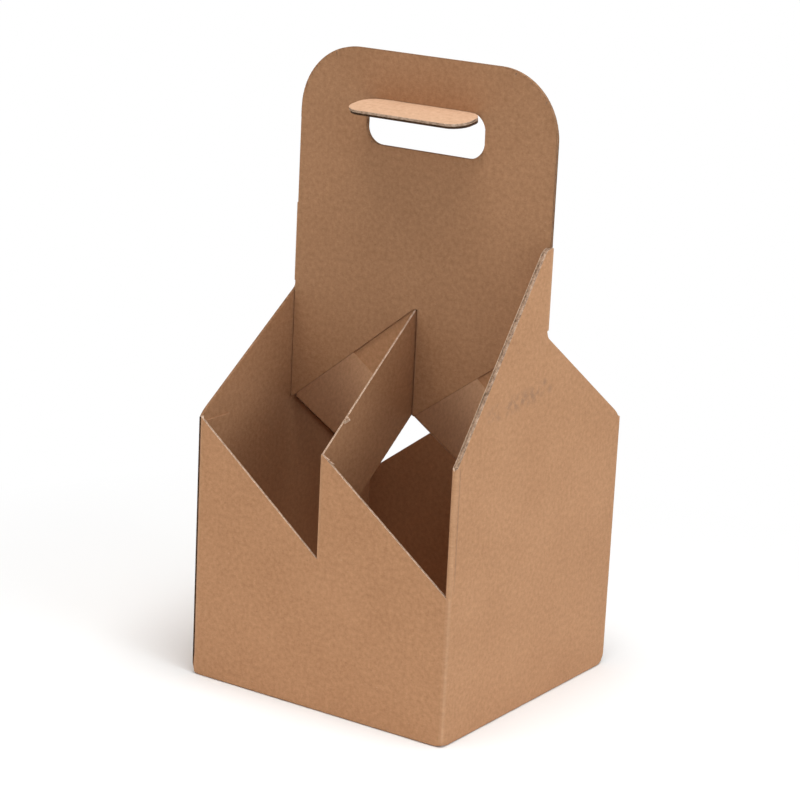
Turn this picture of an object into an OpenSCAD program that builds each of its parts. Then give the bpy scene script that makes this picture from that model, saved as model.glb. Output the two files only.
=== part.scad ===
// Four-bottle carrier folded and glued from one die-cut sheet of corrugated board.
// X runs along the front panel, Y to the rear and Z up, from the middle of the base.
// The carrier is the same after half a turn about Z, apart from its one glued corner.

/* [Board] */
// Thickness of the corrugated board
board = 1.6; // [1:0.1:2.5]
// Inside radius of a square fold
fold_inside = 0.4; // [0.2:0.1:1]
// Air left between two plies that lie side by side
ply_gap = 0.2; // [0.1:0.05:0.5]

/* [Box] */
// Outside width, along the front panel
carrier_width = 174; // [160:1:200]
// Outside depth, along the end panels
carrier_depth = 174; // [160:1:200]
// Height of the corner where an end panel meets the high end of a sawtooth
shoulder_height = 153; // [140:1:170]
// Width of the glue tab inside the left end
tab_width = 25; // [15:1:35]
// Height left free between the glue tab and the shoulder
tab_setback = 3; // [1:0.5:10]

/* [Sawtooth] */
// Height of the notch beside the tooth
tooth_root = 88.5; // [75:0.5:100]
// Height of the tooth's tip
tooth_tip = 148; // [135:0.5:160]
// Height of the low corner under the wing
mouth_height = 85; // [75:0.5:100]

/* [Wings] */
// Height of the wing's outer corner
wing_low = 158; // [150:0.5:175]
// Height of the wing where it meets the handle
wing_peak = 264; // [245:0.5:280]
// Length of the level top beside the handle, before its corner is rounded
wing_level = 4.5; // [4:0.5:8]
// Radius that rounds the slant into the level top
wing_round = 7; // [2:0.5:7]
// Height of the end panel where the handle leaves it
end_notch = 213.5; // [200:0.5:225]
// Gap between a wing's lining and the handle
lining_gap = 1; // [0.5:0.1:3]

/* [Handle] */
// Height of the top of the handle
handle_height = 358; // [330:1:380]
// Radius of the handle's top corners
handle_corner = 38; // [20:1:45]
// Height of a partition's top edge where it leaves the handle
partition_top = 215; // [205:0.5:222]
// Width of the cut above a partition
partition_cut = 0.8; // [0.4:0.2:3]

/* [Hand hole] */
// Width of the hole
hole_width = 79; // [65:1:90]
// Height of the hole
hole_height = 26; // [24:0.5:32]
// Radius of the hole's corners
hole_corner = 10.5; // [4:0.5:11]
// Board left above the hole
hole_cover = 27; // [20:0.5:35]
// Clearance round the flap when it fills the hole
flap_clearance = 0.4; // [0.2:0.1:1]
// Angle the flap is folded out from the hole
flap_angle = 82; // [60:1:120]

/* [Base] */
// Setback of the base folds from the corners
base_setback = 3; // [2:0.5:8]
// Length over which an inner base flap steps up onto the outer ones
base_step = 3; // [2:0.5:6]
// Clearance between that step and the outer flaps
base_clearance = 0.5; // [0.2:0.1:2]
// Seam between the two outer base flaps
base_seam = 1; // [0.5:0.5:3]
// Reach of an inner base flap from the end panel
base_reach = 62; // [40:1:75]

/* [Hidden] */
$fn = 64;

fold_outside = board + fold_inside;
half_width = carrier_width / 2;
half_depth = carrier_depth / 2;
// Straight parts of the panels end where the corner folds begin
straight_x = half_width - fold_outside;
straight_y = half_depth - fold_outside;
// Distance of a partition's outer face from the middle plane
ply_outer = ply_gap / 2 + board;
// Distance from the middle plane at which a fold into the handle or a partition begins
fold_start = ply_gap / 2 + fold_outside;
hole_top = handle_height - hole_cover;
tab_floor = board + ply_gap + fold_outside;
lining_x = half_width - 2 * board - ply_gap;

// Flat sheet standing along X: outline in X and Z, near face at y
module sheet_along_x(y) {
    translate([0, y + board, 0])
        rotate([90, 0, 0])
            linear_extrude(board)
                children();
}

// Flat sheet standing along Y: outline in Y and Z, left face at x
module sheet_along_y(x) {
    translate([x, 0, 0])
        rotate([90, 0, 90])
            linear_extrude(board)
                children();
}

// Upright square fold about a centre in X and Y, starting at an angle
module upright_fold(centre, start, low, high) {
    translate([centre[0], centre[1], low])
        rotate(start)
            rotate_extrude(angle = 90)
                translate([fold_inside, 0])
                    square([board, high - low]);
}

// Rectangle with round corners, centred
module round_rectangle(width, height, radius) {
    square([width - 2 * radius, height], center = true);
    square([width, height - 2 * radius], center = true);
    for (x = [-1, 1], y = [-1, 1])
        translate([x * (width / 2 - radius), y * (height / 2 - radius)])
            circle(radius);
}

// Long panel with its sawtooth; its left end begins at x = left
module sawtooth_panel(left) {
    tooth_x = fold_outside - ply_outer;
    sheet_along_x(-half_depth)
        polygon([
            [left, fold_outside],
            [straight_x, fold_outside],
            [straight_x, mouth_height],
            [tooth_x, tooth_tip],
            [tooth_x, tooth_root],
            [-ply_outer, tooth_root],
            [left, shoulder_height],
        ]);
    upright_fold([tooth_x, -straight_y], 180, tooth_root, tooth_tip);
}

// Partition from the tooth to the handle ply behind it, with the fold into that ply
module partition() {
    handle_y = ply_outer - fold_outside;
    sheet_along_y(-ply_outer)
        polygon([
            [-straight_y, tooth_root],
            [handle_y, shoulder_height],
            [handle_y, partition_top],
            [-straight_y, tooth_tip],
        ]);
    upright_fold([-fold_start, handle_y], 0, shoulder_height, partition_top);
}

// Sliver cut away where the wing's slant is rounded into its level top
module wing_rounding() {
    corner_y = -fold_start - wing_level;
    slant = atan2(wing_peak - wing_low, corner_y + straight_y);
    reach = wing_round * tan(slant / 2);
    centre = [corner_y + reach, wing_peak - wing_round];
    difference() {
        polygon([
            centre,
            [corner_y + reach, wing_peak],
            [corner_y, wing_peak],
            [corner_y - reach * cos(slant), wing_peak - reach * sin(slant)],
        ]);
        translate(centre)
            circle(wing_round);
    }
}

// End panel with its tall front half, and the fold into the front handle ply
module end_panel() {
    sheet_along_y(half_width - board)
        difference() {
            polygon([
                [-straight_y, fold_outside],
                [straight_y, fold_outside],
                [straight_y, shoulder_height],
                [0, end_notch],
                [-fold_start, end_notch],
                [-fold_start, wing_peak],
                [-fold_start - wing_level, wing_peak],
                [-straight_y, wing_low],
            ]);
            wing_rounding();
        }
    upright_fold([straight_x, -fold_start], 0, end_notch, wing_peak);
}

// Lining folded flat against the inside of the wing, with its crease pressed shut
module wing_lining() {
    lining_end = -ply_outer - lining_gap;
    sheet_along_y(lining_x)
        difference() {
            polygon([
                [-straight_y, mouth_height],
                [lining_end, tooth_tip],
                [lining_end, wing_peak],
                [-fold_start - wing_level, wing_peak],
                [-straight_y, wing_low],
            ]);
            wing_rounding();
        }
    translate([lining_x + ply_outer, -straight_y, mouth_height])
        rotate(180)
            rotate_extrude(angle = 180)
                square([ply_outer, wing_low - mouth_height]);
}

// Front ply of the handle, hinged on the right end
module handle_ply() {
    corner_x = straight_x - handle_corner;
    corner_z = handle_height - handle_corner;
    sheet_along_x(-ply_outer)
        difference() {
            union() {
                polygon([
                    [straight_x, end_notch],
                    [fold_start, shoulder_height],
                    [fold_start, partition_top + partition_cut],
                    [-ply_outer, partition_top + partition_cut],
                    [-straight_x, tooth_tip + partition_cut],
                    [-straight_x, corner_z],
                    [straight_x, corner_z],
                ]);
                translate([-corner_x, corner_z])
                    square([2 * corner_x, handle_corner]);
                for (x = [-corner_x, corner_x])
                    translate([x, corner_z])
                        circle(handle_corner);
            }
            translate([0, hole_top - hole_height / 2])
                round_rectangle(hole_width, hole_height, hole_corner);
        }
}

// Outer base flap under the long panel, with its fold
module outer_base_flap() {
    flap_length = carrier_width - 2 * base_setback;
    translate([-flap_length / 2, -straight_y, fold_outside])
        rotate([0, 90, 0])
            rotate(-90)
                rotate_extrude(angle = 90)
                    translate([fold_inside, 0])
                        square([board, flap_length]);
    edge_x = straight_x - base_step - base_clearance;
    edge_y = -straight_y + flap_length / 2 - edge_x;
    linear_extrude(board)
        polygon([
            [-flap_length / 2, -straight_y],
            [flap_length / 2, -straight_y],
            [edge_x, edge_y],
            [edge_x, -base_seam / 2],
            [-edge_x, -base_seam / 2],
            [-edge_x, edge_y],
        ]);
}

// Inner base flap under the end panel: its fold, its step onto the outer flaps, two glue spots
module inner_base_flap() {
    flap_length = carrier_depth - 2 * base_setback - 2 * fold_outside;
    spot = [base_reach / 3, flap_length / 5, ply_gap];
    level = board + ply_gap;
    step_x = straight_x - base_step;
    end_x = straight_x - base_reach;
    translate([straight_x, flap_length / 2, fold_outside])
        rotate([90, 0, 0])
            rotate(-90)
                rotate_extrude(angle = 90)
                    translate([fold_inside, 0])
                        square([board, flap_length]);
    translate([0, flap_length / 2, 0])
        rotate([90, 0, 0])
            linear_extrude(flap_length)
                polygon([
                    [straight_x, 0],
                    [straight_x, board],
                    [step_x, level + board],
                    [end_x, level + board],
                    [end_x, level],
                    [step_x, level],
                ]);
    for (y = [-1, 1])
        translate([straight_x - base_reach * 2 / 3, y * flap_length / 4 - spot[1] / 2, board])
            cube(spot);
}

// Half of the sheet: a long panel, the end on its right and what is folded from them
module half_sheet(left) {
    sawtooth_panel(left);
    partition();
    end_panel();
    upright_fold([straight_x, -straight_y], 270, fold_outside, mouth_height);
    wing_lining();
    handle_ply();
    outer_base_flap();
    inner_base_flap();
}

// Glued corner: the front panel folds into a tab inside the left end
module glued_corner() {
    tab_x = -half_width + board + ply_gap;
    tab_top = shoulder_height - tab_setback;
    glue_low = tab_floor + tab_width / 2;
    translate([tab_x - ply_gap, -straight_y + tab_width / 4, glue_low])
        cube([ply_gap, tab_width / 2, tab_top - tab_width / 4 - glue_low]);
    upright_fold([tab_x + fold_outside, -straight_y], 180, fold_outside, shoulder_height);
    sheet_along_y(tab_x)
        polygon([
            [-straight_y, tab_floor],
            [tab_width - straight_y, tab_floor + tab_width / 4],
            [tab_width - straight_y, tab_top],
            [-straight_y, tab_top],
        ]);
    sheet_along_y(-half_width)
        polygon([
            [-half_depth + ply_gap, fold_outside],
            [-straight_y, fold_outside],
            [-straight_y, shoulder_height],
            [-half_depth + ply_gap, shoulder_height],
        ]);
}

// Glue between the two handle plies, under the hand hole
module handle_glue() {
    glue_width = straight_x;
    glue_low = end_notch + board;
    glue_high = hole_top - hole_height - straight_x / 8;
    translate([-glue_width / 2, -ply_gap / 2, glue_low])
        cube([glue_width, ply_gap, glue_high - glue_low]);
}

// The whole folded sheet
module carrier() {
    color([0.69, 0.52, 0.38])
        union() {
            half_sheet(-straight_x + board + ply_gap);
            rotate(180)
                half_sheet(-straight_x);
            upright_fold([straight_x, straight_y], 0, fold_outside, shoulder_height);
            glued_corner();
            handle_glue();
        }
}

// Two-ply flap of the hand hole, folded out to the front about the hole's top edge
module hand_flap() {
    flap_height = hole_height - flap_clearance;
    color([0.85, 0.68, 0.54])
        translate([0, -ply_outer, hole_top])
            rotate([-flap_angle, 0, 0])
                translate([0, 2 * board, -flap_height / 2])
                    rotate([90, 0, 0])
                        linear_extrude(2 * board)
                            round_rectangle(hole_width - 2 * flap_clearance, flap_height, hole_corner);
}

carrier();
hand_flap();
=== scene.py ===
"""Looks of a carrier with four cells: one sheet of fluted kraft board, cut, folded and glued."""
import math

import bpy
import numpy as np
from mathutils import Matrix, Vector
from mathutils.kdtree import KDTree


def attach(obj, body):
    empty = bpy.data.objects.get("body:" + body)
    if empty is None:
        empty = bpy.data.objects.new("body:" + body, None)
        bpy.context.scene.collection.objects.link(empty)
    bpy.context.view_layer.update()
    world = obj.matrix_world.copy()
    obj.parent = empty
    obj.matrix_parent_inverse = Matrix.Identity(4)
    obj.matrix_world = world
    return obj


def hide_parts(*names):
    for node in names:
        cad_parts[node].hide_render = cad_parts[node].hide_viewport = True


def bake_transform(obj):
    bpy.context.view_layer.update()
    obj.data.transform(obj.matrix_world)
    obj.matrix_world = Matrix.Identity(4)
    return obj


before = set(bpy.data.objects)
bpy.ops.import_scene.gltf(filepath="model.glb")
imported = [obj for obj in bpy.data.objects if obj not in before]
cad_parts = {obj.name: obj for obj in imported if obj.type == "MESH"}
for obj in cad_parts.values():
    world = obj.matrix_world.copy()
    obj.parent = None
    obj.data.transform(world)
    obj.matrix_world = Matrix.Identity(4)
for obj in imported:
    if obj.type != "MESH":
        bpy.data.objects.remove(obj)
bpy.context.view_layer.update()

# Metres in a millimetre, and how near two points of the sheet are one, in decimals and millimetres
MM = 0.001
WELD_DECIMALS, WELD = 3, 0.01

# Sizes of the sheet, in millimetres
BOARD = 1.6
LINER = 0.27
MEDIUM = 0.2
PITCH = 3.3
FOLD_INSIDE = 0.4
FOLD = BOARD + FOLD_INSIDE
FOLD_MID = FOLD_INSIDE + BOARD / 2
GAP = 0.2
HALF = 87.0
STRAIGHT = HALF - FOLD
PLY = GAP / 2 + BOARD
PLY_MID = GAP / 2 + BOARD / 2
FOLD_START = GAP / 2 + FOLD
SHOULDER, SHOULDER_DROP = 153.0, 1.4
SHOULDER_ROUND, SHOULDER_REACH = 1.6, 5.0
TOOTH_ROOT, TOOTH_TIP, MOUTH = 88.5, 148.0, 85.0
TOOTH_X = FOLD - PLY
WING_LOW, WING_PEAK, WING_LEVEL, WING_ROUND = 158.0, 264.0, 4.5, 7.0
END_NOTCH, NOTCH_RISE, NOTCH_REACH = 213.5, 4.5, 2.6
HANDLE_TOP, HANDLE_CORNER = 358.0, 38.0
PARTITION_TOP, PARTITION_CUT = 215.0, 0.1
HOLE_HALF, HOLE_TOP, HOLE_LOW, HOLE_CORNER = 39.5, 331.0, 305.0, 10.5
TAB_WIDTH, TAB_TOP, TAB_FLOOR, TAB_SLANT = 25.0, 150.0, BOARD + GAP + FOLD, 0.25
LINING_X = HALF - 2 * BOARD - GAP
LINING_GAP = 1.0
LINING_END = -PLY - LINING_GAP
BASE_REACH, BASE_STEP, BASE_EDGE, BASE_SEAM = 62.0, 3.0, 81.5, 1.0
FLAP_ANGLE = 82.0
FLAP_CLEARANCE = 0.4
BEND_LOSS = 1.0
CREASE_PAST, CREASE_INSIDE, CREASE_STEPS = 2.5, 0.1, 12

# The fluting: its depth behind an edge, the crushed end of it, its setback, and a waver in its wave
FLUTE_DEPTH, FLUTE_CRUSHED, FLUTE_SETBACK = 6.0, 1.0, 0.03
FLUTE_STEPS, FLUTE_LEAST = 8, 4
WAVER, WAVER_RATE = 0.12, 1.7
FILLER_INSET = 0.25

# Looks of a piece's faces, in the order of its materials; the sixth is a near-black edge look, painted shade
# for edges that lie in shadow
OUTSIDE, INSIDE, CUT, FLUTED, PRESSED, SHADE_PAINTED, ROUGH = range(7)

# A cut edge is pressed thinner over a narrow rim, and harder on glued plies and on the partitions
RIM, RIM_SAMPLE = 0.6, 0.2
RIM_ROWS = (0.2, RIM)
PINCH, HARD_PINCH = 0.85, 0.62
# Power of a fold's outer curve: round, or nearly square where the board is creased hard, as at its foot
ROUND, SQUARE = 2.0, 5.0
FOOT, FOOT_RISE = 4.0, 8.0
# The base corners are crushed round over a short reach
CRUSH, CRUSH_REACH = 1.3, 8.2
CRUSH_START, CRUSH_SPAN = 1.85, 0.7
CRUSH_ROWS = (3.0, 4.1, 5.2, 6.6)
# Wear beside a fold, on a round fold, and on a square one away from its crest and along it
WEAR_BESIDE, WEAR_ROUND, WEAR_FOLD, WEAR_CREST = 0.5, 0.5, 0.35, 0.65

# Offsets along the sheet that keep the paper's pattern of its parts from repeating
REAR_SHIFT, LINING_SHIFT, STRAP_SHIFT, INSIDE_SHIFT = 400.0, 100.0, 200.0, 2000.0
LINING_RUN = 200.0
FLAP_SHIFT, FLAP_PLY_SHIFT = 800.0, 30.0
CREASE_SHIFT, RING_SHIFT, RING_SHARE = 900.0, 40.0, 0.06

# Spacing of columns and rows on flat parts, and the least distance between two of them
STEP, ROOT_STEP, NOTCH_STEP = 4.0, 1.0, 0.35
COLUMN_APART, COLUMN_SHARE = 0.05, 0.3
ROW_STEP, ROWS, ROW_APART, END_APART = 12.0, 29, 0.8, 0.2
# Columns beside folds, along the wing's rounded top and round the notch, and counts on round corners
NEAR_COLUMNS = (*RIM_ROWS, 1.6, 3.0, 5.0)
WING_COLUMNS = (-4.0, -3.4, -2.7, -2.0, -1.2, -0.4, 0.5, 1.4, 2.4, 3.5)
NOTCH_TAIL, NOTCH_COLUMNS = (0.3, 0.6), (1.0, 2.2)
HANDLE_COLUMNS, HOLE_COLUMNS, FLAP_COLUMNS = 22, 10, 12
ARC_STEPS = 8
ARC = [i / ARC_STEPS for i in range(ARC_STEPS + 1)]
QUARTER = FOLD_MID * math.pi / 2

# Heights at which parts of the sheet meet, needed at its seams and folds, and the plain rows elsewhere
MEETS = {
    FOLD, TAB_FLOOR, SHOULDER, TOOTH_ROOT, TOOTH_TIP, MOUTH, WING_LOW, WING_PEAK, END_NOTCH,
    END_NOTCH + NOTCH_RISE, HANDLE_TOP, PARTITION_TOP, PARTITION_TOP + PARTITION_CUT, TAB_TOP,
    HOLE_TOP - HOLE_CORNER, HOLE_LOW + HOLE_CORNER, HANDLE_TOP - HANDLE_CORNER,
}
MEETS |= {SHOULDER + d * SHOULDER_DROP / 2 for d in (-1, 1)}
MEETS |= {SHOULDER + SHOULDER_DROP / 2 - SHOULDER_ROUND}
MEETS |= {z + k * d for z in MEETS for k in (-1, 1) for d in RIM_ROWS}
PLAIN = set(CRUSH_ROWS) | {ROW_STEP * i for i in range(1, ROWS + 1)}
LEVELS = sorted(MEETS | {z for z in PLAIN if all(abs(z - m) > ROW_APART for m in MEETS)})

# Corners of a rectangle about its middle, in order, and a place on the sheet for faces without a pattern
RING = ((-1, -1), (1, -1), (1, 1), (-1, 1))
NO_PATTERN = [(0.0, 0.0)] * 4


def line(c, a, b):
    """Value at c on the line through points a and b."""
    return a[1] + (c - a[0]) * (b[1] - a[1]) / (b[0] - a[0])


def samples(low, high, step, extra=()):
    """Evenly spaced values from low to high, with the extra ones that lie between them."""
    count = max(1, math.ceil((high - low) / step))
    inside = sorted(e for e in extra if low + COLUMN_APART < e < high - COLUMN_APART)
    grid = [low + (high - low) * i / count for i in range(1, count)]
    grid = [g for g in grid if all(abs(g - e) > step * COLUMN_SHARE for e in inside)]
    return sorted({low, high} | set(grid) | set(inside))


class Sheet:
    """Middle surface of the board, welded where its parts meet; the board's depth is added later."""

    def __init__(self, root=None):
        self.root = root
        self.index = {}
        self.points, self.normals, self.pads, self.crease = [], [], [], []
        self.edges, self.pinches, self.powers = [], [], []
        self.triangles, self.corners, self.ribbons = [], [], []

    def vertex(self, point, normal, pad=(0.0, 0.0), crease=0.0, edge=CUT, pinch=PINCH, power=SQUARE):
        """Index of a point of the sheet; the first part to reach a shared point decides its look."""
        key = tuple(round(v, WELD_DECIMALS) + 0.0 for v in point)
        if key not in self.index:
            self.index[key] = len(self.points)
            self.points.append(point)
            self.normals.append(normal)
            self.pads.append(pad)
            self.crease.append(crease)
            self.edges.append(edge)
            self.pinches.append(pinch)
            self.powers.append(power)
        return self.index[key]

    def triangle(self, a, b, c, flip):
        """Triangle of three (index, uv) corners, left out where two of them are one point."""
        corners = [a, b, c][:: -1 if flip else 1]
        ids = [k[0] for k in corners]
        if len(set(ids)) == 3:
            self.triangles.append(ids)
            self.corners.append([k[1] for k in corners])

    def band(self, part, values, lower, upper, edge=""):
        """Standing band of the sheet between two outlines; edge names its cut edges."""
        columns = []
        for c in values:
            (x, y), (nx, ny), s = part.at(c)
            low, high = lower(c), upper(c)
            levels = LEVELS if part.folded or c in (values[0], values[-1]) else PLAIN
            rows = {low, high} | {z for z in levels if low + END_APART < z < high - END_APART}
            if edge and high - low > 3 * RIM:
                rows |= {high - d for d in RIM_ROWS} | {low + d for d in RIM_ROWS if edge == "both"}
            rows = sorted(rows)
            ids = []
            for z in rows:
                wear = part.crease(c, z)
                look = part.edge, part.pinch, part.power(z)
                v = self.vertex((x, y, z), (nx, ny, 0.0), part.pad, wear, *look)
                ids.append((v, (s, z + part.shift)))
            columns.append((rows, ids))
        if part.at(values[-1])[2] < part.at(values[0])[2]:
            columns.reverse()
        for (za, a), (zb, b) in zip(columns, columns[1:]):
            i = j = 0
            while i < len(a) - 1 or j < len(b) - 1:
                if i == len(a) - 1 or (j < len(b) - 1 and zb[j + 1] <= za[i + 1]):
                    self.triangle(a[i], b[j], b[j + 1], part.left)
                    j += 1
                else:
                    self.triangle(a[i], b[j], a[i + 1], part.left)
                    i += 1
        if edge:
            self.ribbons.append((part, values[0], values[-1], lower, upper, edge))

    def grid(self, rows):
        """Grid of (point, normal, uv) rows from outside to inside, joined to what is there already."""
        ids = [[(self.vertex(p, n), uv) for p, n, uv in row] for row in rows]
        for r0, r1 in zip(ids, ids[1:]):
            for k in range(len(r0) - 1):
                self.triangle(r0[k], r0[k + 1], r1[k + 1], True)
                self.triangle(r0[k], r1[k + 1], r1[k], True)

    def rim(self):
        """Free edges, each as its two ends, the triangle it belongs to and its place there."""
        used = {}
        for t, ids in enumerate(self.triangles):
            for e in range(3):
                a, b = ids[e], ids[(e + 1) % 3]
                used.setdefault((min(a, b), max(a, b)), []).append((a, b, t, e))
        return [u[0] for u in used.values() if len(u) == 1 and not self.hinge(u[0])]

    def hinge(self, edge):
        """Whether a free edge lies on a fold that another piece goes on from."""
        return self.root is not None and all(self.points[v][2] > self.root - WELD for v in edge[:2])


class Flat:
    """Straight part of the sheet seen from above: c runs along X or Y, the other coordinate is fixed."""

    folded = False

    def __init__(self, along, fixed, start, normal, s, folds=(), pad=(0.0, 0.0), left=False, turned=False,
                 shift=0.0, edge=CUT, pinch=PINCH):
        self.along, self.fixed, self.start, self.normal = along, fixed, start, normal
        self.s, self.folds, self.pad, self.left, self.shift = s, folds, pad, left, shift
        self.edge, self.pinch = edge, pinch
        self.sign = -1.0 if turned else 1.0

    def at(self, c):
        """Point and outward normal at c, seen from above, and the distance along the sheet."""
        x, y = (c, self.fixed) if self.along == "x" else (self.fixed, c)
        k = self.sign
        return (k * x, k * y), (k * self.normal[0], k * self.normal[1]), self.s + abs(c - self.start)

    def crease(self, c, z):
        """Wear beside the folds (place, low, high) that bound this part."""
        return max([0.0] + [WEAR_BESIDE - abs(c - f) for f, low, high in self.folds if low <= z <= high])

    def power(self, z):
        """A flat part has no outer curve of its own."""
        return ROUND


class Bend:
    """Fold seen from above: c runs from 0 to 1 along an arc of the middle surface."""

    folded = True

    def __init__(self, centre, radius, start, end, outward, s, left=False, turned=False, shift=0.0,
                 edge=CUT, pinch=PINCH, square=False):
        self.centre, self.radius, self.outward = centre, radius, outward
        self.angles = math.radians(start), math.radians(end)
        self.s, self.left, self.shift = s, left, shift
        self.pad, self.edge, self.pinch, self.square = (0.0, 0.0), edge, pinch, square
        self.sign = -1.0 if turned else 1.0
        self.length = radius * abs(self.angles[1] - self.angles[0])

    def at(self, c):
        """Point and outward normal at c, seen from above, and the distance along the sheet."""
        a = self.angles[0] + c * (self.angles[1] - self.angles[0])
        k, o = self.sign, self.outward
        x = self.centre[0] + self.radius * math.cos(a)
        y = self.centre[1] + self.radius * math.sin(a)
        return (k * x, k * y), (k * o * math.cos(a), k * o * math.sin(a)), self.s + c * self.length

    def crease(self, c, z):
        """Wear of the fold, strongest along the crest of a square one."""
        if not self.square:
            return WEAR_ROUND
        return WEAR_FOLD + WEAR_CREST * (1.0 - abs(2.0 * c - 1.0)) ** 2

    def power(self, z):
        """Squareness of the fold's outer curve; a round fold turns square towards the base."""
        if self.square:
            return SQUARE
        return SQUARE + (ROUND - SQUARE) * max(0.0, min(1.0, (z - FOOT) / FOOT_RISE))


def near(*folds):
    """Extra columns beside folds and free ends, where wear fades and the rim is pressed."""
    return [f + k * d for f in folds for k in (-1, 1) for d in NEAR_COLUMNS]


def wing_top(c):
    """Top of a wing: a slant that rounds off to a short level beside the handle."""
    corner = -FOLD_START - WING_LEVEL
    slant = math.atan2(WING_PEAK - WING_LOW, corner + STRAIGHT)
    centre = corner + WING_ROUND * math.tan(slant / 2)
    if c >= centre:
        return WING_PEAK
    if c > centre - WING_ROUND * math.sin(slant):
        return WING_PEAK - WING_ROUND + math.sqrt(WING_ROUND**2 - (c - centre) ** 2)
    return line(c, (-STRAIGHT, WING_LOW), (corner, WING_PEAK))


def notch(distance):
    """Rise of the cut beside the fold into the handle, at a distance from that fold."""
    return NOTCH_RISE * max(0.0, 1.0 - distance / NOTCH_REACH) ** 2


def handle_top(c):
    """Top of the handle, level between its round corners."""
    past = max(0.0, abs(c) - (STRAIGHT - HANDLE_CORNER))
    return HANDLE_TOP - HANDLE_CORNER + math.sqrt(max(0.0, HANDLE_CORNER**2 - past**2))


def rounded(c, half, low, high, up):
    """Height of the upper or lower edge of a rectangle with round corners."""
    past = max(0.0, abs(c) - (half - HOLE_CORNER))
    reach = math.sqrt(max(0.0, HOLE_CORNER**2 - past**2))
    return high - HOLE_CORNER + reach if up else low + HOLE_CORNER - reach


def corner_values(half, radius, count):
    """Columns that follow a quarter circle evenly, at both ends of a width."""
    turn = [half - radius + radius * math.sin(math.pi / 2 * i / count) for i in range(count + 1)]
    return turn + [-v for v in turn]


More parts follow.
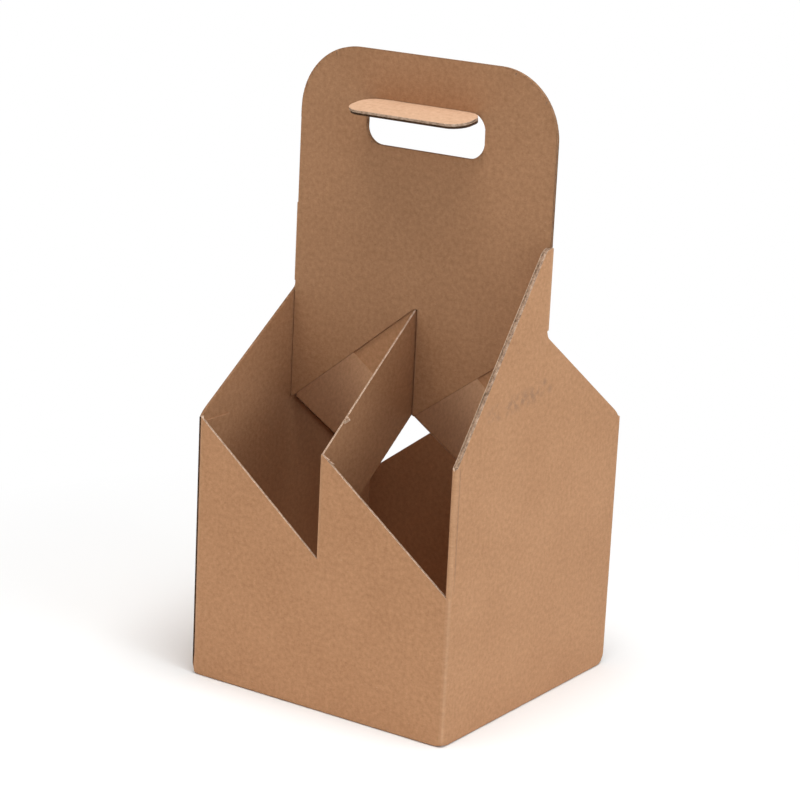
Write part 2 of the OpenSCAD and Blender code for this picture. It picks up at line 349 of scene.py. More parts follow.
def half_sheet(sheet, turned, left, s):
    """Front panel, right end and what is folded from them; turned gives the rear and the left end."""
    shift = REAR_SHIFT if turned else 0.0
    mid = HALF - BOARD / 2
    foot = lambda c: FOLD
    both_ends = dict(turned=turned, shift=shift)

    front_folds = ((left, 0, HANDLE_TOP), (STRAIGHT, 0, HANDLE_TOP), (TOOTH_X, TOOTH_ROOT, HANDLE_TOP))
    front = Flat("x", -mid, left, (0, -1), s, front_folds, **both_ends)
    high_side = lambda c: line(c, (left, SHOULDER - SHOULDER_DROP / 2), (-PLY, TOOTH_ROOT))
    low_side = lambda c: line(c, (TOOTH_X, TOOTH_TIP), (STRAIGHT, MOUTH))
    high_columns = samples(left, -PLY, STEP, near(left))
    root_columns = samples(-PLY, TOOTH_X, ROOT_STEP)
    low_columns = samples(TOOTH_X, STRAIGHT, STEP, near(TOOTH_X, STRAIGHT))
    sheet.band(front, high_columns, foot, high_side, "top")
    sheet.band(front, root_columns, foot, lambda c: TOOTH_ROOT, "top")
    sheet.band(front, low_columns, foot, low_side, "top")

    s_corner = s + STRAIGHT - left
    corner = Bend((STRAIGHT, -STRAIGHT), FOLD_MID, 270, 360, 1, s_corner, edge=OUTSIDE, square=True,
                  **both_ends)
    sheet.band(corner, ARC, foot, lambda c: MOUTH)

    s_end = s_corner + QUARTER
    end_folds = ((-STRAIGHT, 0, HANDLE_TOP), (-FOLD_START, END_NOTCH, HANDLE_TOP), (STRAIGHT, 0, HANDLE_TOP))
    end = lambda edge: Flat("y", mid, -STRAIGHT, (1, 0), s_end, end_folds, edge=edge, **both_ends)
    corner_y = -FOLD_START - WING_LEVEL
    rounding = [corner_y + d for d in WING_COLUMNS]
    beside_fold = lambda c: END_NOTCH + notch(c + FOLD_START)
    wing_columns = samples(-STRAIGHT, -FOLD_START, STEP, near(-STRAIGHT) + rounding)
    notch_columns = samples(-FOLD_START, 0.0, NOTCH_STEP)
    rear_columns = samples(0.0, STRAIGHT, STEP, [*NOTCH_TAIL, *near(STRAIGHT)])

    def rear_top(c):
        past = max(0.0, 1.0 - (STRAIGHT - c) / SHOULDER_REACH)
        straight = line(c, (0.0, END_NOTCH), (STRAIGHT, SHOULDER + SHOULDER_DROP / 2))
        return straight + notch(c + FOLD_START) - SHOULDER_ROUND * past**2

    sheet.band(end(ROUGH), wing_columns, foot, wing_top, "top")
    sheet.band(end(CUT), notch_columns, foot, beside_fold, "top")
    sheet.band(end(PRESSED), rear_columns[:-1], foot, rear_top, "top")
    # The end's last strip takes the near-black edge look: painted shade, seen on the raw edge at the glued
    # corner behind the fold
    sheet.band(end(SHADE_PAINTED), rear_columns[-2:], foot, rear_top, "top")

    behind = dict(left=True, turned=turned, shift=shift + LINING_SHIFT)
    crease = Bend((LINING_X + PLY, -STRAIGHT), PLY_MID, 360, 180, 1, s_end + LINING_RUN, **behind)
    fall = (WING_PEAK - WING_LOW) / (STRAIGHT + corner_y) * crease.length / 2
    sheet.band(crease, ARC, lambda c: MOUTH, lambda c: WING_LOW - fall * (1.0 - abs(2.0 * c - 1.0)))
    lining = Flat("y", LINING_X + BOARD / 2, -STRAIGHT, (-1, 0), s_end + LINING_RUN + crease.length,
                  ((-STRAIGHT, 0, HANDLE_TOP),), pad=(0.0, GAP), **behind)
    lining_low = lambda c: line(c, (-STRAIGHT, MOUTH), (LINING_END, TOOTH_TIP))
    lining_columns = samples(-STRAIGHT, LINING_END, STEP, near(-STRAIGHT, LINING_END) + rounding)
    sheet.band(lining, lining_columns, lining_low, wing_top, "both")

    s_ply = s_end + STRAIGHT - FOLD_START
    into_ply = Bend((STRAIGHT, -FOLD_START), FOLD_MID, 0, 90, 1, s_ply, square=True, **both_ends)
    sheet.band(into_ply, ARC, lambda c: END_NOTCH + NOTCH_RISE, lambda c: WING_PEAK, "top")
    s_ply += QUARTER
    ply = Flat("x", -PLY_MID, STRAIGHT, (0, 1), s_ply, ((STRAIGHT, END_NOTCH, WING_PEAK),),
               pad=(GAP / 2, 0.0), edge=PRESSED, pinch=HARD_PINCH, **both_ends)
    cut_top = PARTITION_TOP + PARTITION_CUT

    def ply_low(c):
        if c >= FOLD_START:
            return line(c, (FOLD_START, SHOULDER), (STRAIGHT, END_NOTCH)) + notch(STRAIGHT - c)
        return cut_top if c >= -PLY else line(c, (-STRAIGHT, TOOTH_TIP + PARTITION_CUT), (-PLY, cut_top))

    hole = lambda up: lambda c: rounded(c, HOLE_HALF, HOLE_LOW, HOLE_TOP, up)
    rims = corner_values(STRAIGHT, HANDLE_CORNER, HANDLE_COLUMNS)
    rims += corner_values(HOLE_HALF, HOLE_CORNER, HOLE_COLUMNS)
    rims += near(STRAIGHT, -STRAIGHT, FOLD_START, HOLE_HALF, -HOLE_HALF)
    rims += [STRAIGHT - d for d in NOTCH_COLUMNS]
    for low, high in ((HOLE_HALF, STRAIGHT), (-STRAIGHT, -HOLE_HALF)):
        sheet.band(ply, samples(low, high, STEP, rims), ply_low, handle_top, "both")
    for low, high in ((-HOLE_HALF, -PLY), (-PLY, FOLD_START), (FOLD_START, HOLE_HALF)):
        under = (lambda c: cut_top) if low == -PLY else ply_low
        across = samples(low, high, STEP, rims)
        sheet.band(ply, across, under, hole(False), "both")
        sheet.band(ply, across, hole(True), handle_top, "both")

    s_strap = s_ply + STRAIGHT - FOLD_START
    aside = dict(turned=turned, shift=shift + STRAP_SHIFT, pinch=HARD_PINCH)
    out = Bend((FOLD_START, TOOTH_X), FOLD_MID, 270, 180, -1, s_strap, **aside)
    sheet.band(out, ARC, lambda c: SHOULDER, lambda c: PARTITION_TOP, "top")
    strap_folds = ((TOOTH_X, 0, HANDLE_TOP), (STRAIGHT, 0, HANDLE_TOP))
    strap = Flat("y", PLY_MID, TOOTH_X, (1, 0), s_strap + QUARTER, strap_folds, **aside)
    strap_low = lambda c: line(c, (TOOTH_X, SHOULDER), (STRAIGHT, TOOTH_ROOT))
    strap_top = lambda c: line(c, (TOOTH_X, PARTITION_TOP), (STRAIGHT, TOOTH_TIP))
    strap_columns = samples(TOOTH_X, STRAIGHT, STEP, near(TOOTH_X, STRAIGHT))
    sheet.band(strap, strap_columns, strap_low, strap_top, "both")
    s_strap += QUARTER + STRAIGHT - TOOTH_X
    home = Bend((-TOOTH_X, STRAIGHT), FOLD_MID, 0, 90, 1, s_strap, **aside)
    sheet.band(home, ARC, lambda c: TOOTH_ROOT, lambda c: TOOTH_TIP, "top")

    xs = sorted(set(high_columns + root_columns + low_columns))
    ys = sorted(set(wing_columns + notch_columns + rear_columns))
    base_flaps(sheet, turned, xs, ys, shift)
    base_corner(sheet, (STRAIGHT, -STRAIGHT), 270, turned, shift)
    base_corner(sheet, (left, -STRAIGHT), 180, turned, shift)
    return s_end + 2 * STRAIGHT


def base_flaps(sheet, turned, xs, ys, shift):
    """Outer flap under the front panel and inner flap under the right end, with their folds."""
    k = -1.0 if turned else 1.0
    fold = []
    for c in ARC:
        a = math.pi / 2 * c
        n = (math.cos(a), -math.sin(a))
        fold.append(((STRAIGHT + FOLD_MID * n[0], FOLD + FOLD_MID * n[1]), n, HALF))
    floor = FOLD - FOLD_MID
    raised = floor + BOARD + GAP
    start, down = STRAIGHT - BASE_STEP, (0.0, -1.0)
    outer = [((v, floor), down, BASE_EDGE) for v in samples(BASE_SEAM / 2, start, ROW_STEP)[::-1]]
    inner = [((v, raised), down, start) for v in samples(STRAIGHT - BASE_REACH, start, ROW_STEP)[::-1]]
    under_front = xs, fold + outer, lambda v, a: (v, -a)
    under_end = ys, fold + inner, lambda v, a: (a, v)
    for values, path, place in (under_front, under_end):
        rows, run = [], 0.0
        for step, ((a, z), (na, nz), limit) in enumerate(path):
            if step:
                run += math.dist((a, z), path[step - 1][0])
            row = []
            for v in values:
                x, y = place(max(-limit, min(limit, v)), a)
                nx, ny = place(0.0, na)
                row.append(((k * x, k * y, z), (k * nx, k * ny, nz), (v, shift - run)))
            rows.append(row)
        sheet.grid(rows)


def base_corner(sheet, centre, start, turned, shift):
    """Round lower end of a corner fold, where the two base folds meet."""
    k = -1.0 if turned else 1.0
    rows = []
    for c in ARC:
        b = math.pi / 2 * c
        row = []
        for d in ARC:
            a = math.radians(start + 90 * d)
            n = (k * math.cos(a) * math.cos(b), k * math.sin(a) * math.cos(b), -math.sin(b))
            x, y = k * centre[0] + FOLD_MID * n[0], k * centre[1] + FOLD_MID * n[1]
            row.append(((x, y, FOLD + FOLD_MID * n[2]), n, (d * QUARTER, shift - b * FOLD_MID)))
        rows.append(row)
    sheet.grid(rows)


def carrier_sheet():
    """The whole folded sheet: glue tab, glued corner, front half, rear corner and rear half."""
    sheet = Sheet()
    tab_mid = -HALF + BOARD + GAP + BOARD / 2
    left = tab_mid + FOLD_MID
    tab_end = TAB_WIDTH - STRAIGHT
    tab = Flat("y", tab_mid, tab_end, (-1, 0), -TAB_WIDTH - QUARTER, ((-STRAIGHT, 0, HANDLE_TOP),),
               pad=(GAP, 0.0), edge=PRESSED, pinch=HARD_PINCH)
    tab_columns = samples(-STRAIGHT, tab_end, STEP, near(-STRAIGHT, tab_end))
    tab_low = lambda c: TAB_FLOOR + (c + STRAIGHT) * TAB_SLANT
    sheet.band(tab, tab_columns, tab_low, lambda c: TAB_TOP, "top")
    foot = lambda c: FOLD
    shoulder = lambda c: SHOULDER + SHOULDER_DROP * (0.5 - c)
    glued_corner = Bend((left, -STRAIGHT), FOLD_MID, 180, 270, 1, -QUARTER)
    sheet.band(glued_corner, ARC, foot, shoulder, "top")
    s = half_sheet(sheet, False, left, 0.0)
    rear = lambda c: shoulder(c) - SHOULDER_ROUND * (1.0 - c)
    rear_corner = Bend((STRAIGHT, STRAIGHT), FOLD_MID, 0, 90, 1, s, square=True)
    sheet.band(rear_corner, ARC, foot, rear, "top")
    half_sheet(sheet, True, -STRAIGHT, s + QUARTER)
    sheet.points = [crushed(point) for point in sheet.points]
    return sheet


def crushed(point):
    """Point of the sheet moved in where a base corner has been knocked round."""
    x, y, z = point
    inside = [abs(x) - HALF + CRUSH_REACH, abs(y) - HALF + CRUSH_REACH, CRUSH_REACH - z]
    past = max(0.0, sum(inside) / CRUSH_REACH - CRUSH_START) / CRUSH_SPAN if min(inside) > 0.0 else 0.0
    d = CRUSH * past**2 / math.sqrt(3.0)
    return x - math.copysign(d, x), y - math.copysign(d, y), z + d


def flap_sheet(depth, short, look):
    """One ply of the hand flap, standing in the hole at a depth, with its free end cut short."""
    sheet = Sheet(root=HOLE_TOP)
    half, low = HOLE_HALF - FLAP_CLEARANCE, HOLE_LOW + FLAP_CLEARANCE + short
    part = Flat("x", depth, half, (0, 1), 0.0, shift=FLAP_SHIFT + FLAP_PLY_SHIFT * depth, edge=look)
    edge = lambda up: lambda c: rounded(c, half, low, HOLE_TOP, up)
    columns = samples(-half, half, STEP, corner_values(half, HOLE_CORNER, FLAP_COLUMNS))
    sheet.band(part, columns, edge(False), edge(True), "both")
    return sheet


class Mesh:
    """Lists of points, faces and their looks, in millimetres, that become one object."""

    def __init__(self):
        self.points, self.faces, self.normals, self.uvs, self.looks, self.wear = [], [], [], [], [], []

    def add(self, points, wear=None):
        """Adds points and gives the index of the first one."""
        start = len(self.points)
        self.points.extend(points)
        self.wear.extend(wear if wear is not None else [0.0] * len(points))
        return start

    def face(self, ids, uvs, look, normals=None):
        """Adds a face, flat unless it has the normals of a smooth one."""
        if normals is None:
            p = [np.asarray(self.points[i]) for i in ids]
            n = np.cross(p[2] - p[0], p[-1] - p[1])
            normals = [n / max(1e-12, np.linalg.norm(n))] * len(ids)
        self.faces.append(list(ids))
        self.normals.extend(normals)
        self.uvs.extend(uvs)
        self.looks.append(look)

    def build(self, name, place=Matrix.Identity(4)):
        """Makes the object, in metres, moved to its place."""
        mesh = bpy.data.meshes.new(name)
        spot = np.array(place)
        moved = np.array(self.points, float) * MM @ spot[:3, :3].T + spot[:3, 3]
        mesh.from_pydata(moved.tolist(), [], self.faces)
        mesh.polygons.foreach_set("material_index", np.array(self.looks, np.int32))
        layer = mesh.uv_layers.new(name="sheet")
        layer.data.foreach_set("uv", (np.array(self.uvs, np.float32) * MM).ravel())
        crease = mesh.attributes.new("crease", "FLOAT", "POINT")
        crease.data.foreach_set("value", np.array(self.wear, np.float32))
        mesh.polygons.foreach_set("use_smooth", np.ones(len(self.faces), bool))
        mesh.normals_split_custom_set((np.array(self.normals, float) @ spot[:3, :3].T).tolist())
        obj = bpy.data.objects.new(name, mesh)
        bpy.context.scene.collection.objects.link(obj)
        return obj


def pressed(sheet, rim):
    """Share of the board's depth that is left at each point, and the way out of the sheet at its rim."""
    base, normal = np.array(sheet.points), np.array(sheet.normals)
    count_of = lambda a, b: max(1, math.ceil(np.linalg.norm(base[b] - base[a]) / RIM_SAMPLE))
    steps = [(a, b, count_of(a, b)) for a, b, t, e in rim]
    tree = KDTree(sum(count + 1 for a, b, count in steps))
    outward = np.zeros_like(base)
    for a, b, count in steps:
        for i in range(count + 1):
            tree.insert(base[a] + (base[b] - base[a]) * i / count, 0)
        across = np.cross(base[b] - base[a], normal[a])
        for v in (a, b):
            outward[v] += across / max(1e-9, np.linalg.norm(across))
    tree.balance()
    outward /= np.maximum(1e-9, np.linalg.norm(outward, axis=1))[:, None]
    share = np.ones(len(base))
    for v, (point, pinch) in enumerate(zip(base, sheet.pinches)):
        inside = min(1.0, tree.find(point)[2] / RIM)
        share[v] = pinch + (1.0 - pinch) * math.sqrt(1.0 - (1.0 - inside) ** 2)
    return share, outward


def outer_curve(normal, power):
    """How far the outer liner of square folds stands out from round ones, and the way it faces there."""
    size = np.abs(normal)
    reach = FOLD * (np.sum(size ** power[:, None], axis=1) ** (-1.0 / power) - 1.0)
    facing = np.sign(normal) * size ** (power - 1.0)[:, None]
    return reach, facing / np.linalg.norm(facing, axis=1)[:, None]


def liners(mesh, sheet):
    """Both liners of the board with their cut edges, and the crushed fluting just behind those edges."""
    rim = sheet.rim()
    share, outward = pressed(sheet, rim)
    normal, pads = np.array(sheet.normals), np.array(sheet.pads)
    glued = np.sign(pads[:, 0] - pads[:, 1])
    half = BOARD / 2 * share
    base = np.array(sheet.points) + normal * (glued * (BOARD / 2 - half))[:, None]
    reach, facing = outer_curve(normal, np.array(sheet.powers))
    for side, look in ((1.0, OUTSIDE), (-1.0, INSIDE)):
        face = half + (pads[:, 0] + reach if side > 0 else pads[:, 1])
        ways = facing if side > 0 else -normal
        skin = mesh.add(base + normal * (side * face)[:, None], sheet.crease)
        back = mesh.add(base + normal * (side * (half - LINER))[:, None])
        order = (0, 1, 2) if side > 0 else (2, 1, 0)
        for ids, uv in zip(sheet.triangles, sheet.corners):
            uvs = [(uv[o][0], uv[o][1] + (0.0 if side > 0 else INSIDE_SHIFT)) for o in order]
            mesh.face([skin + ids[o] for o in order], uvs, look, [ways[ids[o]] for o in order])
            mesh.face([back + ids[o] for o in order[::-1]], uvs[::-1], FLUTED,
                      [-side * normal[ids[o]] for o in order[::-1]])
        for a, b, t, e in rim:
            uv_a, uv_b = sheet.corners[t][e], sheet.corners[t][(e + 1) % 3]
            quad, uvs = [skin + b, skin + a, back + a, back + b], [uv_b, uv_a, uv_a, uv_b]
            turn = 1 if side > 0 else -1
            mesh.face(quad[::turn], uvs[::turn], FLUTED if glued[a] == -1.0 == side else sheet.edges[a])
    inset = base - outward * FILLER_INSET
    depth = (half - LINER)[:, None]
    top, low = mesh.add(inset + normal * depth), mesh.add(inset - normal * depth)
    for a, b, t, e in rim:
        uv_a, uv_b = sheet.corners[t][e], sheet.corners[t][(e + 1) % 3]
        quad, uvs = [top + b, top + a, low + a, low + b], [uv_b, uv_a, uv_a, uv_b]
        mesh.face(quad, uvs, FLUTED if glued[a] == -1.0 else sheet.edges[a])


def flutes(mesh, sheet):
    """Wave of the fluted medium along the edges where its cut end shows."""
    full = BOARD / 2 - LINER - MEDIUM / 2
    for part, c0, c1, lower, upper, edge in sheet.ribbons:
        run = abs(part.at(c1)[2] - part.at(c0)[2])
        count = max(FLUTE_LEAST, math.ceil(run / (PITCH / FLUTE_STEPS)))
        crushed = BOARD / 2 * (1.0 - part.pinch)
        lean = math.copysign(crushed, part.pad[0] - part.pad[1]) if any(part.pad) else 0.0
        end_look = FLUTED if part.pad[1] else part.edge
        for rising in (True, False) if edge == "both" else (True,):
            last = None
            for i in range(count + 1):
                c = c0 + (c1 - c0) * i / count
                (x, y), (nx, ny), s = part.at(c)
                low, high = lower(c), upper(c)
                far = max(low, high - FLUTE_DEPTH) if rising else min(high, low + FLUTE_DEPTH)
                sign = 1.0 if rising else -1.0
                tip = (high if rising else low) - sign * FLUTE_SETBACK
                wave = math.sin(2 * math.pi * s / PITCH) + WAVER * math.sin(WAVER_RATE * s)
                rows = []
                inner = tip - sign * min(FLUTE_CRUSHED, abs(tip - far) / 2)
                for z, swing, middle in ((tip, full - crushed, lean), (inner, full, 0.0), (far, full, 0.0)):
                    d = middle + max(-1.0, min(1.0, wave)) * swing
                    rows.append([(x + nx * o, y + ny * o, z) for o in (d + MEDIUM / 2, d - MEDIUM / 2)])
                now = mesh.add([p for row in rows for p in row])
                if last is not None:
                    uvs = [(s, high)] * 4
                    for quad, look in (
                        ((last, last + 1, now + 1, now), end_look),
                        ((last, now, now + 2, last + 2), FLUTED),
                        ((last + 2, now + 2, now + 4, last + 4), FLUTED),
                        ((last + 1, last + 3, now + 3, now + 1), FLUTED),
                        ((last + 3, last + 5, now + 5, now + 3), FLUTED),
                        ((last + 4, now + 4, now + 5, last + 5), FLUTED),
                    ):
                        mesh.face(quad, uvs, look)
                last = now


def shred(mesh, path, widths, side):
    """Thin torn strip of paper along a path, closed at both ends."""
    path, side = np.array(path), np.array(side) / np.linalg.norm(side)
    along = np.gradient(path, axis=0)
    up = np.cross(along, side)
    up /= np.linalg.norm(up, axis=1)[:, None]
    rings = []
    for point, width, lift in zip(path, widths, up):
        across, deep = side * width / 2, lift * LINER / 2
        rings.append(mesh.add([point + across * u + deep * v for u, v in RING]))
    for a, b in zip(rings, rings[1:]):
        for k in range(4):
            mesh.face([a + k, a + (k + 1) % 4, b + (k + 1) % 4, b + k], NO_PATTERN, CUT)
    mesh.face([rings[0] + k for k in (3, 2, 1, 0)], NO_PATTERN, CUT)
    mesh.face([rings[-1] + k for k in range(4)], NO_PATTERN, CUT)


class Nodes:
    """Short way to write a material's node tree."""

    def __init__(self, name):
        self.material = bpy.data.materials.new(name)
        self.material.use_nodes = True
        self.tree = self.material.node_tree
        self.tree.nodes.clear()

    def add(self, kind, inputs=None, **settings):
        """Adds a node; an input is linked if it is a socket, and else set."""
        node = self.tree.nodes.new(kind)
        for key, value in settings.items():
            setattr(node, key, value)
        for key, value in (inputs or {}).items():
            if isinstance(value, bpy.types.NodeSocket):
                self.tree.links.new(value, node.inputs[key])
            else:
                node.inputs[key].default_value = value
        return node

    def math(self, operation, a, b=0.0, c=0.0):
        return self.add("ShaderNodeMath", {0: a, 1: b, 2: c}, operation=operation).outputs[0]

    def spread(self, value, low, high, to_low=0.0, to_high=1.0):
        return self.add("ShaderNodeMapRange", {0: value, 1: low, 2: high, 3: to_low, 4: to_high}).outputs[0]

    def noise(self, vector, scale, detail=3.0, rough=0.55, stretch=(1.0, 1.0, 1.0)):
        mapped = self.add("ShaderNodeMapping", {"Vector": vector, "Scale": stretch}).outputs[0]
        inputs = {"Vector": mapped, "Scale": scale, "Detail": detail, "Roughness": rough}
        return self.add("ShaderNodeTexNoise", inputs).outputs["Fac"]

    def mix(self, factor, a, b):
        return self.add("ShaderNodeMix", {0: factor, 6: a, 7: b}, data_type="RGBA").outputs[2]

    def finish(self, shader):
        self.add("ShaderNodeOutputMaterial", {0: shader.outputs[0]})
        return self.material


# Marks on the right end, in metres: its face, the slanting line that the rub marks follow with their
# front and rear ends and half width, the darker touches (place, reach, strength), and the painted shade of a
# score line
END_FACE = 0.08695
RUB_SLOPE, RUB_HEIGHT = 0.095, 0.1857
RUB_FRONT, RUB_REAR, RUB_SIDE = (-0.062, -0.054), (0.002, -0.01), (0.001, 0.0065)
TOUCHES = (((0.087, -0.0016, 0.1893), 0.0026, 0.5), ((0.087, 0.0044, 0.1844), 0.0034, 0.34))
TOUCH_CORE = 0.0004
SCORE_PLACE, SCORE_SIDE, SCORE_SHADE_STRENGTH = 0.0829, (0.0002, 0.0008), 0.34
SCORE_LOW, SCORE_TOP = (0.085, 0.1), (0.158, 0.155)
MARK_AND_SHADE_COLOUR = (0.17, 0.11, 0.085, 1)


def smudges_and_score_shade(n, colour, mottle):
    """Faint grey rub marks on the right end, below the wing, with two darker touches, and painted shade
    along a score line by its front fold.
    """
    where = n.add("ShaderNodeTexCoord").outputs["Object"]
    x, y, z = n.add("ShaderNodeSeparateXYZ", {0: where}).outputs
    face = n.math("GREATER_THAN", x, END_FACE)
    level = n.math("MULTIPLY_ADD", y, RUB_SLOPE, RUB_HEIGHT)
    drift = n.math("ABSOLUTE", n.math("SUBTRACT", z, level))
    band = n.math("MULTIPLY", n.spread(drift, *RUB_SIDE, 1.0, 0.0), n.spread(y, *RUB_FRONT))
    band = n.math("MULTIPLY", band, n.spread(y, *RUB_REAR))
    patches = n.spread(n.noise(where, 210.0, 3.0, 0.6), 0.45, 0.58)
    mark = n.math("MULTIPLY", n.math("MULTIPLY", band, patches), n.spread(mottle, 0.3, 0.6, 0.22, 0.44))
    for place, reach, strength in TOUCHES:
        spot = n.add("ShaderNodeVectorMath", {0: where, 1: place}, operation="DISTANCE").outputs["Value"]
        touch = n.spread(spot, TOUCH_CORE, reach, strength, 0.0)
        touch = n.math("MULTIPLY", touch, n.spread(mottle, 0.3, 0.6, 0.4, 1.0))
        mark = n.math("MAXIMUM", mark, touch)
    # A score line beside the front fold, darkened in colour: painted shade of its groove
    beside = n.math("ABSOLUTE", n.math("ADD", y, SCORE_PLACE))
    score_shade = n.spread(beside, *SCORE_SIDE, SCORE_SHADE_STRENGTH, 0.0)
    score_shade = n.math("MULTIPLY", score_shade, n.spread(z, *SCORE_LOW))
    score_shade = n.math("MULTIPLY", score_shade, n.spread(z, *SCORE_TOP))
    mark = n.math("MULTIPLY", n.math("MAXIMUM", mark, score_shade), face)
    return n.mix(mark, colour, MARK_AND_SHADE_COLOUR)


def kraft(name, dark, light, fleck, pale, marked=False):
    """Kraft liner: clouded brown paper with fine fibres and specks, and faint flute lines."""
    n = Nodes(name)
    uv = n.add("ShaderNodeUVMap", uv_map="sheet").outputs[0]
    cloud = n.noise(uv, 22.0, 4.0, 0.6)
    mottle = n.noise(uv, 380.0, 5.0, 0.62)
    fibre = n.noise(uv, 1500.0, 3.0, 0.7, (0.6, 1.2, 1.0))
    tone = n.math("MULTIPLY_ADD", mottle, 0.55, n.math("MULTIPLY", fibre, 0.25))
    tone = n.math("MULTIPLY_ADD", cloud, 0.2, tone)
    colour = n.mix(n.spread(tone, 0.385, 0.615), dark, light)
    specks = n.noise(uv, 800.0, 2.0, 0.5, (0.6, 1.0, 1.0))
    colour = n.mix(n.spread(specks, 0.65, 0.78, 0.0, 0.32), colour, fleck)
    threads = n.noise(uv, 1000.0, 2.0, 0.5, (0.4, 1.1, 1.0))
    colour = n.mix(n.spread(threads, 0.67, 0.8, 0.0, 0.32), colour, pale)
    crease = n.add("ShaderNodeAttribute", attribute_name="crease").outputs["Fac"]
    colour = n.mix(n.math("MULTIPLY", crease, n.spread(cloud, 0.3, 0.7, 0.06, 0.34)), colour, pale)
    if marked:
        colour = smudges_and_score_shade(n, colour, mottle)
    along = n.add("ShaderNodeSeparateXYZ", {0: uv}).outputs[0]
    ridge = n.math("SINE", n.math("MULTIPLY", along, 2 * math.pi / (PITCH * MM)))
    height = n.math("MULTIPLY_ADD", mottle, 0.8, n.math("MULTIPLY", ridge, 0.035))
    height = n.math("MULTIPLY_ADD", fibre, 0.5, height)
    bump = n.add("ShaderNodeBump", {"Height": height, "Strength": 0.22, "Distance": 0.0004})
    return n.finish(n.add("ShaderNodeBsdfPrincipled", {
        "Base Color": colour, "Roughness": n.spread(mottle, 0.3, 0.7, 0.62, 0.78),
        "Normal": bump.outputs[0], "Specular IOR Level": 0.2}))


def raw_fibre(name, dark, light, coarse):
    """Cut and torn paper fibre at the edges of the board and on its medium."""
    n = Nodes(name)
    where = n.add("ShaderNodeTexCoord").outputs["Object"]
    grain = n.noise(where, 1600.0, 4.0, 0.7)
    crush = n.noise(where, coarse, 3.0, 0.6)
    tone = n.math("MULTIPLY_ADD", grain, 0.4, n.math("MULTIPLY", crush, 0.6))
    bump = n.add("ShaderNodeBump", {"Height": tone, "Strength": 0.3, "Distance": 0.0003})
    return n.finish(n.add("ShaderNodeBsdfPrincipled", {
        "Base Color": n.mix(n.spread(tone, 0.38, 0.6), dark, light),
        "Roughness": n.spread(grain, 0.3, 0.7, 0.85, 0.98),
        "Normal": bump.outputs[0], "Specular IOR Level": 0.2}))


looks = (
    kraft("kraft_outside", (0.425, 0.212, 0.102, 1), (0.555, 0.295, 0.154, 1), (0.24, 0.12, 0.06, 1),
          (0.7, 0.47, 0.31, 1), marked=True),
    kraft("kraft_inside", (0.335, 0.168, 0.082, 1), (0.445, 0.237, 0.124, 1), (0.19, 0.095, 0.046, 1),
          (0.58, 0.38, 0.25, 1)),
    raw_fibre("cut_edge", (0.42, 0.275, 0.185, 1), (0.76, 0.56, 0.42, 1), 500.0),
    raw_fibre("fluting", (0.1, 0.055, 0.03, 1), (0.47, 0.31, 0.205, 1), 330.0),
    raw_fibre("pressed_edge", (0.25, 0.125, 0.06, 1), (0.4, 0.215, 0.115, 1), 500.0),
    # Near-black edge: painted shade, for edges in shadow under the flap and behind the glued corner's fold
    raw_fibre("edge_painted_shade", (0.03, 0.015, 0.008, 1), (0.13, 0.07, 0.038, 1), 330.0),
    raw_fibre("rough_edge", (0.2, 0.12, 0.075, 1), (0.66, 0.47, 0.345, 1), 420.0),
)
# Paler paper for the flap's top faces: painted light, a highlight from the lamp above and the paper's sheen
flap_top_painted_light = kraft("kraft_painted_light", (0.5, 0.3, 0.182, 1), (0.62, 0.395, 0.26, 1), (0.3, 0.17, 0.1, 1),
               (0.74, 0.54, 0.4, 1))
flap_looks = (looks[INSIDE], flap_top_painted_light, *looks[CUT:])

carrier = carrier_sheet()
board = Mesh()
liners(board, carrier)
fluting = Mesh()
flutes(fluting, carrier)

# Burrs that the die has left on the front partition and beside its tooth
burrs = Mesh()
for path, widths, side in (
    ([(-0.5, -66.7, 161.9), (0.5, -66.9, 162.6), (1.6, -67.0, 163.4), (2.7, -67.1, 164.2),
      (3.6, -67.1, 164.8)], (1.3, 1.4, 1.5, 1.4, 1.0), (0.6, 0.0, -0.8)),
    ([(-0.6, -64.3, 164.2), (0.3, -64.4, 164.6), (1.1, -64.6, 164.6), (1.6, -64.8, 164.2)],
     (0.8, 0.7, 0.5, 0.3), (0.3, -0.75, -0.6)),
    ([(2.0, -86.2, 146.4), (3.0, -86.5, 146.8), (4.1, -86.6, 146.4), (5.0, -86.4, 146.2)],
     (0.7, 0.7, 0.6, 0.3), (0.0, 1.0, 0.0)),
    ([(4.4, -85.9, 144.7), (5.4, -86.1, 145.1), (6.6, -86.2, 144.5), (7.6, -86.0, 144.2)],
     (0.6, 0.6, 0.5, 0.25), (0.0, 1.0, 0.0)),
):
    shred(burrs, path, widths, side)

hinge = Vector((0.0, -PLY * MM, HOLE_TOP * MM))
turn = Matrix.Rotation(math.radians(-FLAP_ANGLE), 4, "X")
fold_out = Matrix.Translation(hinge) @ turn @ Matrix.Translation(-hinge)
flap, flap_fluting = Mesh(), Mesh()
# The lower ply's edges take the near-black edge look: painted shade beneath the upper ply
for depth, short, look in ((BOARD / 2 - PLY, 0.0, CUT), (1.5 * BOARD - PLY, BEND_LOSS, SHADE_PAINTED)):
    ply = flap_sheet(depth, short, look)
    liners(flap, ply)
    flutes(flap_fluting, ply)

for mesh, name, body, node, place, surfaces in (
    (board, "carrier_board", "carrier", "carrier", Matrix.Identity(4), looks),
    (fluting, "carrier_fluting", "carrier", "carrier", Matrix.Identity(4), looks),
    (burrs, "carrier_burrs", "carrier", "carrier", Matrix.Identity(4), looks),
    (flap, "hand_flap_board", "flap", "hand_flap", fold_out, flap_looks),
    (flap_fluting, "hand_flap_fluting", "flap", "hand_flap", fold_out, flap_looks),
):
    piece = mesh.build(name, place)
    for look in surfaces:
        piece.data.materials.append(look)
    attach(piece, body)
    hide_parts(node)

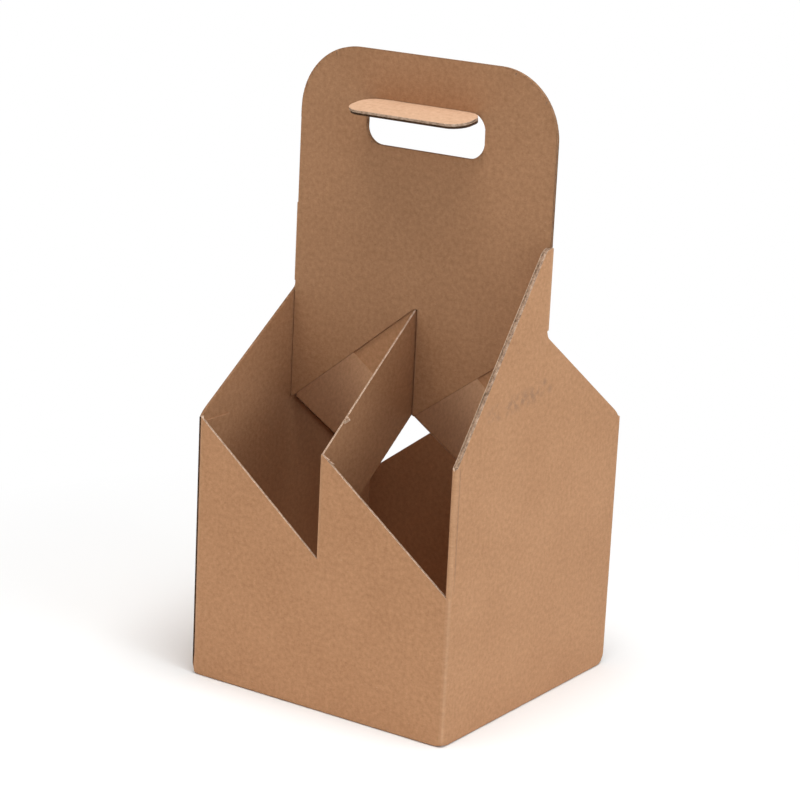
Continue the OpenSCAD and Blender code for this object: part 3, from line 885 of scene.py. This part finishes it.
# The fold that the flap hangs on: both plies of the handle bend round it together
crease = Mesh()
reach = HOLE_HALF - HOLE_CORNER + CREASE_PAST
angles = [math.radians(FLAP_ANGLE) * i / CREASE_STEPS for i in range(CREASE_STEPS + 1)]
columns = samples(-reach, reach, STEP)
last = len(columns) - 1
starts = []
for a in angles:
    depth = 2 * PLY - a / angles[-1] * GAP
    ring = []
    for r in (CREASE_INSIDE, depth):
        y, z = -PLY + r * math.cos(a), HOLE_TOP - r * math.sin(a)
        ring.append(crease.add([(x, y, z) for x in columns]))
    starts.append(ring)
for i in range(CREASE_STEPS):
    (in0, out0), (in1, out1) = starts[i], starts[i + 1]
    near_v, far_v = (CREASE_SHIFT + RING_SHIFT * (i + share) for share in (0.0, RING_SHARE))
    for k in range(last):
        uvs = [(columns[k], near_v), (columns[k + 1], near_v), (columns[k + 1], far_v), (columns[k], far_v)]
        crease.face([out0 + k, out0 + k + 1, out1 + k + 1, out1 + k][::-1], uvs[::-1], INSIDE)
        crease.face([in0 + k, in0 + k + 1, in1 + k + 1, in1 + k], uvs, INSIDE)
    for k, turn_round in ((0, 1), (last, -1)):
        quad = [in0 + k, out0 + k, out1 + k, in1 + k]
        crease.face(quad[::turn_round], NO_PATTERN, INSIDE)
for ring, turn_round in ((0, 1), (-1, -1)):
    inner, outer = starts[ring]
    for k in range(last):
        quad = [inner + k, inner + k + 1, outer + k + 1, outer + k]
        crease.face(quad[::turn_round], NO_PATTERN, INSIDE)
fold = crease.build("hand_flap_crease")
for look in looks:
    fold.data.materials.append(look)
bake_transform(fold)
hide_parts("hand_flap")

# Floor that is pale under the carrier and fades into the white background
FLOOR_HALF, FLOOR_DROP = 6.0, 0.0002
FADE_START, FADE_END = 0.16, 0.42
floor_mesh = bpy.data.meshes.new("floor")
corners = [(u * FLOOR_HALF, v * FLOOR_HALF, -FLOOR_DROP) for u, v in RING]
floor_mesh.from_pydata(corners, [], [(0, 1, 2, 3)])
floor = bpy.data.objects.new("floor", floor_mesh)
bpy.context.scene.collection.objects.link(floor)
n = Nodes("floor_paper")
where = n.add("ShaderNodeTexCoord").outputs["Object"]
distance = n.add("ShaderNodeVectorMath", {0: where}, operation="LENGTH").outputs["Value"]
paper = n.add("ShaderNodeBsdfDiffuse", {"Color": (0.92, 0.92, 0.92, 1)})
white = n.add("ShaderNodeEmission", {"Color": (1, 1, 1, 1), "Strength": 1.0})
seen = n.add("ShaderNodeLightPath").outputs["Is Camera Ray"]
fade = n.math("MULTIPLY", n.spread(distance, FADE_START, FADE_END), seen)
blended = n.add("ShaderNodeMixShader", {0: fade, 1: paper.outputs[0], 2: white.outputs[0]})
floor_mesh.materials.append(n.finish(blended))

# White surroundings: plain white to the camera, softer light on the carrier
SOFT_LIGHT = 0.35
world = bpy.data.worlds.new("studio")
world.use_nodes = True
bpy.context.scene.world = world
tree = world.node_tree
tree.nodes.clear()
seen = tree.nodes.new("ShaderNodeLightPath")
soft, bright = tree.nodes.new("ShaderNodeBackground"), tree.nodes.new("ShaderNodeBackground")
soft.inputs[0].default_value, bright.inputs[0].default_value = (1, 0.98, 0.95, 1), (1, 1, 1, 1)
soft.inputs[1].default_value = SOFT_LIGHT
choose = tree.nodes.new("ShaderNodeMixShader")
out = tree.nodes.new("ShaderNodeOutputWorld")
tree.links.new(seen.outputs["Is Camera Ray"], choose.inputs[0])
tree.links.new(soft.outputs[0], choose.inputs[1])
tree.links.new(bright.outputs[0], choose.inputs[2])
tree.links.new(choose.outputs[0], out.inputs[0])

LAMP_TARGET = Vector((0.0, 0.0, 0.17))


def lamp(name, place, size, power, colour):
    """Round soft lamp that faces the middle of the carrier."""
    data = bpy.data.lights.new(name, "AREA")
    data.shape = "DISK"
    data.size = size
    data.energy = power
    data.color = colour
    obj = bpy.data.objects.new(name, data)
    obj.location = place
    obj.rotation_mode = "QUATERNION"
    obj.rotation_quaternion = (LAMP_TARGET - Vector(place)).to_track_quat("-Z", "Y")
    bpy.context.scene.collection.objects.link(obj)


lamp("overhead", (0.25, -0.2, 1.9), 1.2, 30.0, (1.0, 1.0, 1.0))
lamp("right_key", (1.7, -0.3, 0.8), 0.9, 9.4, (0.81, 0.93, 1.0))
lamp("front_fill", (-0.7, -1.7, 0.5), 1.0, 3.6, (1.0, 0.94, 0.84))

# Camera at the photograph's angle, with its focal length in pixels of the picture's width
CAMERA_ANGLES = (33.69, 15.03, 2.78)
CAMERA_TARGET, CAMERA_DISTANCE = Vector((-0.0088, 0.0, 0.1604)), 1.511
FOCAL_PIXELS, PICTURE_PIXELS, SENSOR = 2645.0, 800.0, 36.0
azimuth, elevation, roll = (math.radians(v) for v in CAMERA_ANGLES)
level = math.cos(elevation)
back = Vector((math.sin(azimuth) * level, -math.cos(azimuth) * level, math.sin(elevation)))
right = Vector((math.cos(azimuth), math.sin(azimuth), 0.0))
up = back.cross(right)
rolled_right = right * math.cos(roll) + up * math.sin(roll)
rolled_up = up * math.cos(roll) - right * math.sin(roll)
axes = Matrix((rolled_right, rolled_up, back)).transposed().to_4x4()
data = bpy.data.cameras.new("camera")
data.sensor_width = SENSOR
data.lens = FOCAL_PIXELS * SENSOR / PICTURE_PIXELS
camera = bpy.data.objects.new("camera", data)
camera.matrix_world = Matrix.Translation(CAMERA_TARGET + back * CAMERA_DISTANCE) @ axes
bpy.context.scene.collection.objects.link(camera)
bpy.context.scene.camera = camera
bpy.context.scene.view_settings.view_transform = "Standard"
